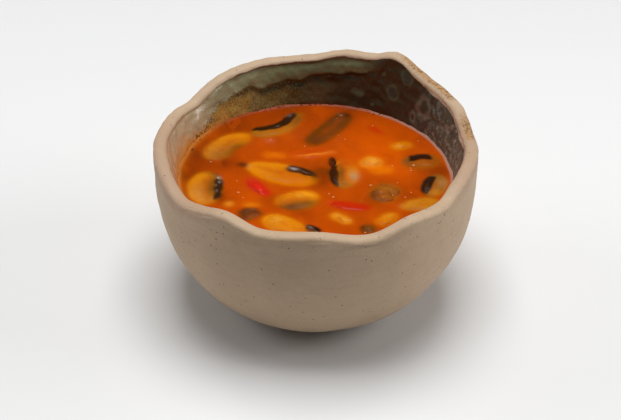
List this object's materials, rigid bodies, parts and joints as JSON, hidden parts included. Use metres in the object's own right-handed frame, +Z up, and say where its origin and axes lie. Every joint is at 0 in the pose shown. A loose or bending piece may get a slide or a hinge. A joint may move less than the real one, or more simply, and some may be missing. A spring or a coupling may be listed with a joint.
{
  "type": "tom yum soup in a bowl",
  "caption": "Orange-red tom yum soup with mushroom slices, tomato and chilli, filling a thick hand-pinched stoneware bowl with a wavy rim and a dark speckled glaze inside.",
  "frame": {"origin": "centre of the bowl's foot, on the surface it stands on", "axes": "+Z up; -Y towards the front, the side the soup is seen from; +X to the right as seen from the front"},
  "size_m": [0.1398, 0.1398, 0.0872],
  "materials": {
    "stoneware": "matt, unglazed outside",
    "broth": "wet, glossy",
    "mushroom": "wet, satin",
    "mushroom_stalk": "wet, satin",
    "tomato_wedge": "wet, glossy",
    "tomato": "wet, glossy",
    "chilli": "wet, glossy",
    "pale_chunk": "wet, satin",
    "brown_chunk": "wet, satin"
  },
  "bodies": {
    "root": {"bowl": "stoneware", "soup": "broth", "mushroom_left_back": "mushroom", "mushroom_left": "mushroom", "mushroom_back": "mushroom", "mushroom_centre": "mushroom", "mushroom_middle": "mushroom", "mushroom_right_back": "mushroom", "mushroom_right": "mushroom", "mushroom_right_front": "mushroom", "mushroom_front_left": "mushroom", "mushroom_front": "mushroom", "mushroom_front_right": "mushroom", "mushroom_stalk": "mushroom_stalk", "tomato_wedge": "tomato_wedge", "tomato_piece": "tomato", "chilli_strip": "chilli", "chunk_right": "pale_chunk", "chunk_right_back": "pale_chunk", "chunk_front": "pale_chunk", "brown_chunk": "brown_chunk", "brown_piece_left": "brown_chunk", "brown_piece_front": "brown_chunk"}
  },
  "joints": []
}
